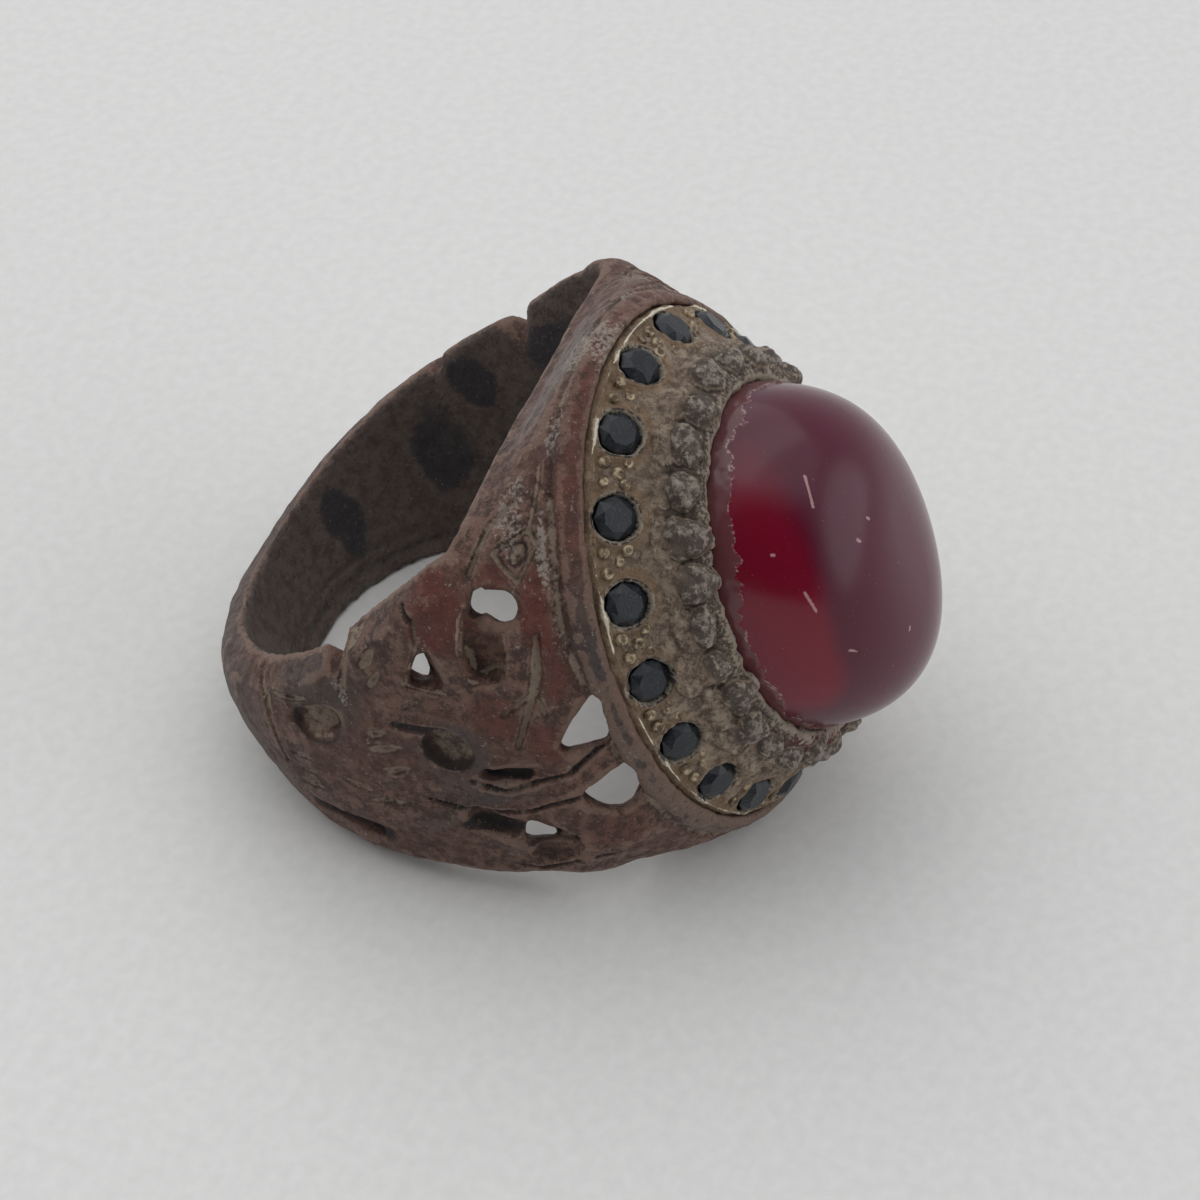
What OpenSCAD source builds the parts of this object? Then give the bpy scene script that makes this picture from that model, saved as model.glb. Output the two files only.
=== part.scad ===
// Cast dress ring with a pierced, hollow head, lying on its side as it rests.
// Each piece is drawn with the finger hole's centre at the origin, the finger
// along Y and the head towards +Z. resting() then lays the ring on its side.

/* [Shank] */
// Radius of the round lower half of the finger hole
hole_r = 9.5; // [9:0.1:10]
// Thickness of the shank
shank_t = 1.6; // [1.3:0.1:1.9]
// Width of the plain band at the back
back_w = 3.9; // [3.4:0.1:4.6]
// Height of the finger hole's flat top above its centre
hole_top = 6.7; // [6.3:0.1:7]

/* [Head] */
// Height of the rim's top above the finger hole's centre
rim_h = 11.3; // [11:0.1:11.8]
// Width of the oval rim across the finger
rim_across = 20.2; // [20:0.1:20.6]
// Length of the oval rim along the finger
rim_along = 23.1; // [22.8:0.1:23.6]
// Wall of the hollow head
head_t = 0.8; // [0.7:0.1:1]

/* [Stones] */
// Width of the main stone across the finger
stone_across = 12.1; // [11.6:0.1:12.3]
// Length of the main stone along the finger
stone_along = 15; // [14.6:0.1:15.2]
// Height of the main stone's dome above its straight girdle
dome_h = 6.7; // [5:0.1:8]
// Number of accent stones round the head
accents = 18; // [12:1:18]
// Width of one accent stone
accent_d = 1.72; // [1.5:0.02:1.8]
// Number of bead claws round the main stone
claws = 28; // [20:1:30]

/* [Hidden] */

$fn = 72;
gap = 0.05;
outer_r = hole_r + shank_t;
rim_a = rim_across / 2;
rim_b = rim_along / 2;

// Outside of the band, by angle from the back: [angle, radius at the middle,
// half width along the finger, shift along it, fall of the surface to its edges]
BAND = [
  [0, outer_r - 0.05, back_w / 2, 0, 0],
  [16, outer_r + 0.1, 2.1, -0.05, 0.1],
  [30, outer_r + 0.22, 2.6, 0, 0.4],
  [47, outer_r + 0.5, 3.5, 0, 0.6],
  [67, outer_r + 0.5, 4.85, -0.25, 0.6],
  [90, outer_r + 0.4, 6.2, -0.12, 0.6]
];

// Outside of the shoulders and head: [height, half width across the finger,
// half width along it, shift along it, fall to the edges, squareness]
HEAD = [
  [0, outer_r + 0.4, 6.2, -0.12, 0.6, 14],
  [2, outer_r + 0.35, 7.05, 0, 0.6, 14],
  [3.5, outer_r + 0.25, 7.6, 0.25, 0.6, 14],
  [4.7, outer_r + 0.15, 7.95, 0.5, 0.5, 12],
  [5.7, outer_r, 8.35, 0.6, 0.4, 12],
  [hole_top, outer_r - 0.2, 8.8, 0.5, 0.2, 7.5],
  [7.5, outer_r - 0.35, 9.18, 0.38, 0.1, 4.8],
  [8.4, outer_r - 0.55, 9.9, 0.25, 0, 3.4],
  [9.3, outer_r - 0.85, 10.75, 0.1, 0, 2.6],
  [rim_h - 1.15, rim_a - 0.15, rim_b - 0.2, 0, 0, 2.1],
  [rim_h - 0.8, rim_a, rim_b, 0, 0, 2],
  [rim_h - 0.35, rim_a - 0.25, rim_b - 0.25, 0, 0, 2],
  [rim_h, rim_a - 0.5, rim_b - 0.5, 0, 0, 2]
];
// The upper edge of the shoulders isn't level: [height, rise of that edge along
// the finger for each mm across it]
SKEW = [[-10, 0.04], [-1, 0.04], [3, 0.022], [6, 0]];
function column(table, c) = [for (row = table) [row[0], row[c]]];
function band_at(t, c) = lookup(t, column(BAND, c));
function band_row(t) = let (r = band_at(t, 1))
  [-r * cos(t), r * sin(t), band_at(t, 2), band_at(t, 3), band_at(t, 4) / sin(t), 14];
OUTSIDE = concat([for (t = [6 : 10 : 86]) band_row(t)], HEAD);
function at(h, c) = lookup(h, column(OUTSIDE, c));

// Distance of the outside from the middle plane, at y along the finger
function outside(y, h) = let (u = abs(y - at(h, 3)) / at(h, 2), n = at(h, 5))
  (at(h, 1) - at(h, 4) * u * u) * pow(1 - pow(u, n), 1 / n);

// One level of the outside, a squared oval
section_sides = 64;
function level(h, inset) = let (n = at(h, 5), a = at(h, 1) - inset, b = at(h, 2) - inset)
  [for (i = [0 : section_sides - 1])
    let (t = (i + 0.5) * 360 / section_sides, c = cos(t), s = sin(t))
    let (r = pow(pow(abs(c), n) + pow(abs(s), n), -1 / n))
    let (x = (a - at(h, 4) * pow(r * s, 2)) * r * c)
    [x, at(h, 3) + b * r * s + lookup(h, SKEW) * x * (1 + r * s) / 2, h]];

// A closed solid through a stack of levels that have the same number of
// points. Each end is a fan round its middle.
function middle(points) = let (sum = [for (p = points) 1] * points) sum / len(points);
module stack(levels) {
  m = len(levels[0]);
  last = len(levels) - 1;
  ends = (last + 1) * m;
  polyhedron(
    points = concat([for (l = levels) each l], [middle(levels[0]), middle(levels[last])]),
    faces = concat(
      [for (i = [0 : m - 1]) [ends, i, (i + 1) % m]],
      [for (l = [0 : last - 1], i = [0 : m - 1])
        [l * m + i, (l + 1) * m + i, (l + 1) * m + (i + 1) % m]],
      [for (l = [0 : last - 1], i = [0 : m - 1])
        [l * m + i, (l + 1) * m + (i + 1) % m, l * m + (i + 1) % m]],
      [for (i = [0 : m - 1]) [ends + 1, last * m + (i + 1) % m, last * m + i]]
    )
  );
}

// An oval ring or disc, offset evenly from the main stone's edge:
// rows of [half width across, height]
oval_extra = (stone_along - stone_across) / 2;
oval_sides = 72;
function oval(a, b, h) = [for (i = [0 : oval_sides - 1])
  let (t = i * 360 / oval_sides) [a * cos(t), b * sin(t), h]];
function oval_rows(rows) = [for (r = rows) oval(r[0], r[0] + oval_extra, r[1])];

// Seat of the setting in the rim
seat_a = rim_a - 0.7;
seat_h = rim_h - 0.75;

// Evenly spaced places round an oval, by its length: angle of place i of n
oval_steps = 180;
function oval_point(a, t) = [a * cos(t), (a + oval_extra) * sin(t)];
function oval_lengths(a) = [for (i = 0, s = 0; i <= oval_steps;
  s = s + norm(oval_point(a, (i + 1) * 360 / oval_steps) - oval_point(a, i * 360 / oval_steps)),
  i = i + 1) [s, i * 360 / oval_steps]];
function oval_angle(a, i, n) = let (table = oval_lengths(a))
  lookup((i + 0.5) / n * table[oval_steps][0], table);

// Places children on an oval, turned so that X points straight out of it
module on_oval(a, i, n, h) {
  t = oval_angle(a, i, n);
  translate([a * cos(t), (a + oval_extra) * sin(t), h])
    rotate([0, 0, atan2(sin(t) / (a + oval_extra), cos(t) / a)])
      children();
}

accent_a = 8.56;
accent_h = rim_h + 0.72;
accent_lean = 38;
module accent_place(i) {
  on_oval(accent_a, i, accents, accent_h)
    rotate([0, accent_lean, 0])
      children();
}

// The finger hole: round below, straight sides and a flat top above
hole_side = hole_r - 0.2;
hole_corner = 1.8;
side_start = sqrt(hole_r * hole_r - hole_side * hole_side);
function hole_outline() = let (c = hole_corner) concat(
  [[-hole_side, side_start - 1], [hole_side, side_start - 1]],
  [for (t = [0 : 15 : 90]) [hole_side - c + c * cos(t), hole_top - c + c * sin(t)]],
  [for (t = [90 : 15 : 180]) [-hole_side + c + c * cos(t), hole_top - c + c * sin(t)]]
);
module finger_hole() {
  rotate([90, 0, 0])
    linear_extrude(rim_along + 2, center = true) {
      polygon(hole_outline());
      difference() {
        circle(hole_r);
        translate([-outer_r, side_start])
          square(2 * outer_r);
      }
    }
}

// The hollow under the setting, open to the finger hole:
// [height, distance in from the outside]
HOLLOW = [
  [hole_top - 0.6, 2.2],
  [hole_top + 0.4, 1.4],
  [hole_top + 1.2, head_t],
  [rim_h - 1.2, head_t],
  [rim_h - 0.5, 1.6]
];
module head_hollow() {
  stack([for (row = HOLLOW) level(row[0], row[1])]);
}

module setting_seat() {
  stack([for (h = [seat_h, rim_h + 0.5]) oval(seat_a, seat_a + oval_extra, h)]);
}

// Cuts a flat outline, given as places [y, height], into the outside of both
// shoulders, as deep as depth at place
module carve(place, depth) {
  x = outside(place[0], place[1]) - depth;
  for (side = [0, 1])
    mirror([side, 0, 0])
      rotate([90, 0, 90])
        translate([0, 0, x])
          linear_extrude(outer_r + 1 - x)
            children();
}

// Pierces both shoulders at place, leaning towards the rim, with an outline
// given in the same way. The small ones lean more.
module pierce(place, steep = 1) {
  for (side = [0, 1])
    mirror([side, 0, 0])
      rotate([90, 0, 90])
        translate([place[0], place[1], outside(place[0], place[1])])
          rotate([-26 * steep, 28 * steep, 0])
            linear_extrude(6.5, center = true)
              translate(-place)
                children();
}

// A round-ended slot from one point to another, as an outline
module slot(p, q, r) {
  d = q - p;
  translate(p) rotate(atan2(d[1], d[0])) polygon(concat(
    [for (t = [90 : 22.5 : 270]) [r * cos(t), r * sin(t)]],
    [for (t = [-90 : 22.5 : 90]) [norm(d) + r * cos(t), r * sin(t)]]
  ));
}

// Slots sunk into the shoulders: [from, to, half width, depth]
SLOTS = [
  [[4.8, 7], [6.6, 7.75], 0.8, 0.6],
  [[2.75, -2.2], [2.95, -0.85], 0.62, 0.5],
  [[-2.8, 3.5], [-3.8, 4.8], 0.55, 0.45],
  [[-5.3, 5.3], [-4.9, 6.5], 0.6, 0.5],
  [[-0.5, 4.9], [-0.75, 6.9], 0.3, 0.45],
  [[-2.8, -3.8], [-3.5, -2.1], 0.45, 0.4]
];
module shoulder_work() {
  for (s = SLOTS)
    carve((s[0] + s[1]) / 2, s[3])
      slot(s[0], s[1], s[2]);
  // Round pit
  carve([1.05, 3.85], 0.5)
    translate([1.05, 3.85])
      circle(1, $fn = 24);
  // Openings on either side of the strut under the rim
  pierce([1, 9.4])
    polygon([[0.25, 10.4], [0, 8.15], [1.1, 8.95], [2, 9.7], [2.5, 10.4]]);
  pierce([-2.3, 9.3])
    polygon([[-1.3, 10.3], [-1.55, 9.5], [-2.5, 7.9], [-3.2, 8.7], [-3.5, 9.4], [-2.9, 10.4]]);
  // Opening at the outer end of the long slot, with a nub on its lower side
  pierce([7, 8.1])
    polygon([[6.4, 7], [7.75, 7.45], [7.5, 8.85], [6.85, 9.1], [6.2, 8.8], [6.35, 8.1], [6.7, 7.85]]);
  // Three-cornered recess with a small opening
  carve([4.8, 4.6], 0.5)
    polygon([[6, 5.1], [3.9, 5.15], [4.5, 3.5]]);
  pierce([5.3, 5.1], 1.5)
    polygon([[6.45, 4.8], [4.75, 5.5], [4.9, 4.4]]);
  // Slit on the lower half
  pierce([-3.8, 5.9], 1.5)
    polygon([[-3.2, 5.3], [-4.05, 7.2], [-4.25, 5.3]]);
  // Notches between the lobes of both edges
  for (n = NOTCHES)
    rotate([90, 0, 90])
      linear_extrude(2 * outer_r + 2, center = true)
        translate(n[0])
          rotate(atan2(n[2], n[1]))
            wedge(n[3], n[4]);
}

// A wedge that opens to the right from a round end of radius r at the origin,
// with the given half angle
module wedge(r, spread) {
  long = 3;
  half = r * cos(spread) + (long + r * sin(spread)) * tan(spread);
  polygon(concat(
    [for (i = [0 : 6]) let (t = 90 + spread + i * (180 - 2 * spread) / 6) [r * cos(t), r * sin(t)]],
    [[long, -half], [long, half]]
  ));
}

// Notches in the edges of the shoulders: [inner end, way out along the finger,
// way up, radius, half angle of its opening]
NOTCHES = [
  [[5.15, 0.45], 1, -0.1, 0.2, 30],
  [[8.45, 4.65], 1, 0.3, 0.25, 38],
  [[4.65, -3.95], 1, -0.3, 0.2, 34],
  [[-6.75, 0.7], -1, 0, 0.3, 20],
  [[-5.3, -2.6], -1, 0.2, 0.25, 20]
];

module ring_body() color("#6b5047") resting() {
  difference() {
    stack([for (row = OUTSIDE) level(row[0], 0)]);
    finger_hole();
    head_hollow();
    setting_seat();
    shoulder_work();
  }
}

collar_h = rim_h + 3.3;
well_a = stone_across / 2 + gap;
well_h = rim_h - 0.1;
module setting() color("#8a7a63") resting() {
  difference() {
    union() {
      stack(oval_rows([
        [seat_a - gap, seat_h + gap],
        [seat_a - gap, rim_h],
        [well_a + 1.6, rim_h + 1.55],
        [well_a + 0.9, rim_h + 2.5],
        [well_a + 0.35, collar_h]
      ]));
      for (i = [0 : claws - 1])
        on_oval(well_a + 0.78, i, claws, rim_h + 2.55)
          rotate([0, -40, 0])
            claw_bead();
    }
    stack([for (h = [well_h, collar_h + 1]) oval(well_a, well_a + oval_extra, h)]);
    for (i = [0 : accents - 1])
      accent_place(i)
        translate([0, 0, -0.6])
          cylinder(h = 2, r = accent_d / 2 + gap, $fn = 32);
  }
}

// One long bead, lying along Z, made by turning its outline
bead_half = 1.15;
bead_r = 0.66;
module claw_bead() {
  rotate_extrude($fn = 24)
    polygon(concat([[0, -bead_half]],
      [for (t = [-60 : 30 : 60]) [bead_r * sqrt(cos(t)), bead_half * sin(t)]],
      [[0, bead_half]]));
}

// The main stone: a straight girdle under a full, squared dome
dome_power = 2.74;
function stone_levels() = let (a = stone_across / 2) oval_rows(concat(
  [[a - 0.3, well_h + gap], [a, well_h + 0.35]],
  [for (t = concat([for (t = [0 : 12 : 72]) t], [79, 85]))
    [a * pow(cos(t), 2 / dome_power), rim_h + 1.65 + dome_h * pow(sin(t), 2 / dome_power)]]
));
module main_stone() color("#7d1424") resting() {
  stack(stone_levels());
}

// One accent stone: an eight-sided table over a ring of crown facets
module accent_stone(i) color("#2b3138") resting() accent_place(i) {
  r = accent_d / 2;
  hull() {
    translate([0, 0, 0.2]) rotate(22.5) cylinder(h = 0.02, r = r * 0.66, $fn = 8);
    translate([0, 0, -0.12]) cylinder(h = 0.06, r = r, $fn = 8);
    translate([0, 0, -0.54]) cylinder(h = 0.02, r = r * 0.35, $fn = 8);
  }
}

// Where the finger hole cuts the lower edge of one row of the band
function cut_points(row) = let (x = sqrt(max(0, hole_r * hole_r - row[0] * row[0])),
    low = [for (p = level(row[0], 0)) if (p[1] < row[3]) [p[0], p[1]]])
  [for (side = [-1, 1]) [side * x, lookup(side * x, low), row[0]]];

// Lays the ring on the floor, on its rim and an edge of its band, and centres
// it there
outline = concat(
  [for (row = OUTSIDE, p = level(row[0], 0)) if (row[0] > 0 || norm([p[0], row[0]]) > hole_r) p],
  [for (row = OUTSIDE) if (row[0] < 0) each cut_points(row)],
  [for (l = stone_levels()) each l]
);
rest_h = rim_h - 0.8;
rest_y = rim_b * cos(180 / section_sides);
lean = min([for (p = outline) if (p[2] < 0) atan2(rest_y + p[1], rest_h - p[2])]);
reach = [for (p = outline) p[1] * sin(lean) - p[2] * cos(lean)];
lift = rest_y * cos(lean) - rest_h * sin(lean);
module resting() {
  translate([0, -(min(reach) + max(reach)) / 2, lift])
    rotate([90 - lean, 0, 0])
      children();
}

ring_body();
setting();
main_stone();
for (i = [1 : accents])
  accent_stone(i - 1);
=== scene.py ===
"""Worn cast copper ring with a red cabochon, dark accent stones and bead claws."""
import math

import bpy
import numpy as np
from bpy.props import FloatProperty, IntProperty, PointerProperty
from mathutils import Matrix, Vector


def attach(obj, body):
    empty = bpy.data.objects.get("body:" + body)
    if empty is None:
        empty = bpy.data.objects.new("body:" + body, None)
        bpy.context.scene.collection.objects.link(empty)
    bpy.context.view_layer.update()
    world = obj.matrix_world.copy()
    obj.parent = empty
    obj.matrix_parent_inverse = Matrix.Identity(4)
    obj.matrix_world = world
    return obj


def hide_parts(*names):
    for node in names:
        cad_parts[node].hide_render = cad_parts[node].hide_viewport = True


bl_info = {
    "name": "Oval cabochon ring",
    "version": (1, 0, 0),
    "blender": (4, 5, 0),
    "location": "View3D > Sidebar > Ring",
    "description": "Builds a worn cast ring with an oval cabochon in bead claws",
    "category": "Add Mesh",
}

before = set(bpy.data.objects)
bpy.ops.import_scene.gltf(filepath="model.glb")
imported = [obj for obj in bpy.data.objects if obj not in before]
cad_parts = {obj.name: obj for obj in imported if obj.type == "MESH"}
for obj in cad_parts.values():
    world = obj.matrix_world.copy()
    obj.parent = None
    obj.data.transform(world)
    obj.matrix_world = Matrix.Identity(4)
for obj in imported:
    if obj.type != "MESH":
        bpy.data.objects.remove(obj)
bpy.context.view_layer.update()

# The ring frame has its origin in the finger hole's middle, X across the
# finger, Y along it and Z towards the head, in mm. The ring lies on its side.
LEAN = math.radians(23.3215)
SHIFT = 4.25556
LIFT = 6.43671
LAY = np.array([
    [1, 0, 0],
    [0, math.sin(LEAN), -math.cos(LEAN)],
    [0, math.cos(LEAN), math.sin(LEAN)],
])
OFFSET = np.array([0, SHIFT, LIFT])

# Main sizes in mm: the finger hole's radius, the foot and top of the head's rim,
# how far each oval's half length is over its half width, the half width of the
# well's oval, and the half width, height and outward lean of the accent stones
HOLE_R = 9.5
RIM_FOOT = 10.2
RIM_H = 11.3
OVAL_EXTRA = 1.45
WELL_A = 6.1
ACCENT_A = 8.56
ACCENT_H = RIM_H + 0.72
ACCENT_LEAN = math.radians(38)
ACCENTS = 18
CLAWS = 28


def to_row(p):
    """Ring frame in mm to the row's frame in metres: the lean, then the shift."""
    return (np.asarray(p) @ LAY.T + OFFSET) / 1000


def to_ring(p):
    """Row's frame in metres to the ring frame in mm."""
    return (np.asarray(p) * 1000 - OFFSET) @ LAY


def smooth(lo, hi, x):
    """Rises smoothly from 0 at lo to 1 at hi, which may be the lower: 3t squared
    less 2t cubed, with t the share of the way."""
    t = np.clip((x - lo) / (hi - lo), 0, 1)
    return t * t * (3 - 2 * t)


def bell(x, middle, width):
    """1 at the middle and falling to 0 on both sides: e to the power of minus
    the square of the distance from the middle over the width."""
    return np.exp(-((x - middle) / width) ** 2)


def noise(p, size, seed, octaves=3):
    """Value noise from -1 to 1: random values on a lattice of the given size in
    mm, blended smoothly, with each octave half as large and half as strong and
    shifted, so that their lattices don't line up."""
    cells, start, shift = 32, 100, 7.3
    table = np.random.default_rng(seed).random((cells, cells, cells))
    total, weight, out = 0, 1, np.zeros(len(p))
    for octave in range(octaves):
        q = p / size * 2 ** octave + shift * octave + start
        cell = np.floor(q).astype(int)
        t = q - cell
        t = t * t * (3 - 2 * t)
        value = 0
        for corner in np.ndindex(2, 2, 2):
            c = (cell + corner) % cells
            near = np.prod(np.where(np.array(corner) == 1, t, 1 - t), axis=1)
            value = value + near * table[c[:, 0], c[:, 1], c[:, 2]]
        out += weight * (2 * value - 1)
        total += weight
        weight /= 2
    return out / total


def linear(colour):
    """sRGB hex colour to linear red, green and blue."""
    c = [int(colour[i:i + 2], 16) / 255 for i in (1, 3, 5)]
    return [v / 12.92 if v <= 0.04045 else ((v + 0.055) / 1.055) ** 2.4 for v in c]


def mesh_arrays(mesh):
    """Points of a mesh, and the number of the point at each of its faces' corners."""
    co = np.empty(len(mesh.vertices) * 3, np.float32)
    mesh.vertices.foreach_get("co", co)
    corners = np.empty(len(mesh.loops), np.int32)
    mesh.loops.foreach_get("vertex_index", corners)
    return co.reshape(-1, 3).astype(float), corners


def linked(name, data):
    """A new object with the data, in the scene."""
    made = bpy.data.objects.new(name, data)
    bpy.context.scene.collection.objects.link(made)
    return made


def add_object(name, co, faces, material, replaces=()):
    """Makes a smooth-shaded piece from ring-frame points and arrays of faces."""
    mesh = bpy.data.meshes.new(name)
    every_face = [face for part in faces for face in part.tolist()]
    mesh.from_pydata(to_row(co).tolist(), [], every_face, shade_flat=False)
    mesh.validate()
    mesh.materials.append(material)
    piece = linked(name, mesh)
    if replaces:
        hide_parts(*replaces)
    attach(piece, "root")
    return piece


def add_layers(piece, **layers):
    """Stores numbers from 0 to 1 on the points, by name, for a material to read."""
    for name, values in layers.items():
        layer = piece.data.attributes.new(name, "FLOAT", "POINT")
        layer.data.foreach_set("value", np.clip(values, 0, 1).astype(np.float32))


def oval_rows(half_width, half_length, height, columns):
    """Points of a stack of ovals, row by row: half width times the cosine, half
    length times the sine, and the height."""
    u = np.arange(columns) / columns * 2 * np.pi
    return np.stack([
        half_width[:, None] * np.cos(u), half_length[:, None] * np.sin(u),
        np.broadcast_to(height[:, None], (len(height), columns)),
    ], -1).reshape(-1, 3)


def grid_faces(rows, columns, closed_rows=False, first=0):
    """Quads of a grid of rows by columns whose columns close into a ring. With
    closed_rows the last row joins the first. Points run row by row."""
    r = np.arange(rows if closed_rows else rows - 1)[:, None]
    c = np.arange(columns)[None, :]
    r1, c1 = (r + 1) % rows, (c + 1) % columns
    a, b = r * columns + c, r * columns + c1
    d, e = r1 * columns + c, r1 * columns + c1
    return np.stack([a, b, e, d], -1).reshape(-1, 4) + first


def point_normals(co, faces):
    """Mean of the face normals at each point, weighted by area. A face's normal
    is the cross product of two of its sides or, for a quad, its diagonals."""
    corners = faces.shape[1]
    a, b, c = (co[faces[:, k]] for k in range(3))
    n = np.cross(b - a, c - a) if corners == 3 else np.cross(c - a, co[faces[:, 3]] - b)
    out = np.stack([
        np.bincount(faces.ravel(), np.repeat(n[:, k], corners), len(co)) for k in range(3)
    ], 1)
    return out / np.maximum(np.linalg.norm(out, axis=1, keepdims=True), 1e-12)


def smoothed(values, faces, pulls):
    """Moves each point's values towards the mean of its neighbours, once for
    each pull in turn, by that share of the way."""
    a, b = faces.ravel(), np.roll(faces, -1, axis=1).ravel()
    ends, others = np.concatenate([a, b]), np.concatenate([b, a])
    share = np.maximum(np.bincount(ends, minlength=len(values)), 1)
    for pull in pulls:
        mean = np.stack([
            np.bincount(ends, values[others, k], len(values)) / share
            for k in range(values.shape[1])
        ], 1)
        values = values + pull * (mean - values)
    return values


def bulge_of(co, faces, normal):
    """How far each point stands out from the mean of the points round it."""
    return ((co - smoothed(co, faces, [1, 1, 1])) * normal).sum(1)


def halve_sides(co, faces, wanted):
    """Halves the wanted sides of a triangle mesh. A triangle with one, two or
    three halved sides becomes two, three or four, so no crack opens. wanted
    tells from the two ends of each side whether it is to be halved."""
    ends = np.stack([faces, np.roll(faces, -1, axis=1)])
    sides, place = np.unique(ends.min(0) * len(co) + ends.max(0), return_inverse=True)
    a, b = co[sides // len(co)], co[sides % len(co)]
    halved = wanted(a, b)
    number = np.where(halved, len(co) + np.cumsum(halved) - 1, -1)
    new = number[place.reshape(-1, 3)]
    co = np.concatenate([co, (a[halved] + b[halved]) / 2])
    # Turn each triangle so that its halved sides come first
    count = (new >= 0).sum(1)
    after_whole = ((new < 0).argmax(1) + 1) * (count == 2)
    first = np.where(count == 1, (new >= 0).argmax(1), after_whole)
    turn = (first[:, None] + np.arange(3)) % 3
    # Columns 0 to 2 are the corners, columns 3 to 5 the new points on the sides
    t = np.concatenate([np.take_along_axis(part, turn, 1) for part in (faces, new)], 1)
    parts = {
        0: [[0, 1, 2]],
        1: [[0, 3, 2], [3, 1, 2]],
        2: [[3, 1, 4], [0, 3, 4], [0, 4, 2]],
        3: [[0, 3, 5], [3, 1, 4], [5, 4, 2], [3, 4, 5]],
    }
    return co, np.concatenate([t[count == n][:, part] for n in parts for part in parts[n]])


def node(tree, kind, at=(0, 0), inputs=None, **settings):
    """Adds one node. inputs maps a socket's name or number to a value or to
    another node's output, which is linked."""
    made = tree.nodes.new(kind)
    made.location = at
    for name, value in settings.items():
        setattr(made, name, value)
    for name, value in (inputs or {}).items():
        socket = made.inputs[name]
        if isinstance(value, bpy.types.NodeSocket):
            tree.links.new(value, socket)
        else:
            socket.default_value = value
    return made


def patterns(tree, rows):
    """Noise on Object coordinates, one for each row of [name, size of its lumps
    in mm, detail, roughness], as a dictionary from name to output."""
    where = node(tree, "ShaderNodeTexCoord", (-1500, 0))
    found = {}
    for k, (name, size, detail, rough) in enumerate(rows):
        found[name] = node(tree, "ShaderNodeTexNoise", (-1250, 400 - 250 * k), {
            "Vector": where.outputs["Object"], "Scale": 1000 / size,
            "Detail": detail, "Roughness": rough,
        }).outputs["Fac"]
    return found


def coated(tree, found, ground, coats):
    """Colour of a ground under coats of tint, laid in turn. A coat's share rises
    smoothly with a number stored on the points, or 0 where none is named, plus
    the pattern's sway round its mean, so its border is ragged: [stored name,
    pattern, sway, sum where it starts, sum where it is full, full share,
    colour]."""
    colour = (*linear(ground), 1)
    for k, (stored, pattern, sway, start, full, most, tint) in enumerate(coats):
        x = 220 * k - 900
        amount = 0.0
        if stored:
            layer = node(tree, "ShaderNodeAttribute", (x, -250), attribute_name=stored)
            amount = layer.outputs["Fac"]
        level = node(tree, "ShaderNodeMath", (x, -50), {0: amount, 1: -sway / 2}).outputs[0]
        total = node(tree, "ShaderNodeMath", (x, 100), {
            0: found[pattern], 1: sway, 2: level,
        }, operation="MULTIPLY_ADD").outputs[0]
        share = node(tree, "ShaderNodeMapRange", (x, 250), {
            "Value": total, "From Min": start, "From Max": full, "To Min": 0, "To Max": most,
        }, interpolation_type="SMOOTHSTEP").outputs[0]
        # Sockets 6 and 7 and output 2 are the ones for colours
        colour = node(tree, "ShaderNodeMix", (x, 500), {
            0: share, 6: colour, 7: (*linear(tint), 1),
        }, data_type="RGBA").outputs[2]
    return colour


def finish_material(name, rows, ground, coats, rough, relief, **uniform):
    """A material from its patterns, ground and coats. rough is [pattern, value
    at each end, roughness at each end]; relief is [first pattern, its share,
    second pattern, its share, height in mm]. uniform gives other sockets of the
    shader, with spaces as underscores."""
    made = bpy.data.materials.new(name)
    made.use_nodes = True
    tree = made.node_tree
    tree.nodes.clear()
    found = patterns(tree, rows)
    colour = coated(tree, found, ground, coats)
    pattern, lo, hi, at_lo, at_hi = rough
    roughness = node(tree, "ShaderNodeMapRange", (600, -300), {
        "Value": found[pattern], "From Min": lo, "From Max": hi, "To Min": at_lo, "To Max": at_hi,
    }).outputs[0]
    first, first_share, second, second_share, height = relief
    part = node(tree, "ShaderNodeMath", (-900, -600), {
        0: found[second], 1: second_share}, operation="MULTIPLY")
    total = node(tree, "ShaderNodeMath", (-700, -600), {
        0: found[first], 1: first_share, 2: part.outputs[0]}, operation="MULTIPLY_ADD")
    bump = node(tree, "ShaderNodeBump", (600, -600), {
        "Strength": 1.0, "Distance": height / 1000, "Height": total.outputs[0]})
    shader = node(tree, "ShaderNodeBsdfPrincipled", (1800, 0), {
        "Base Color": colour, "Roughness": roughness, "Normal": bump.outputs[0],
        **{key.replace("_", " "): value for key, value in uniform.items()},
    })
    node(tree, "ShaderNodeOutputMaterial", (2100, 0), {"Surface": shader.outputs[0]})
    return made


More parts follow.
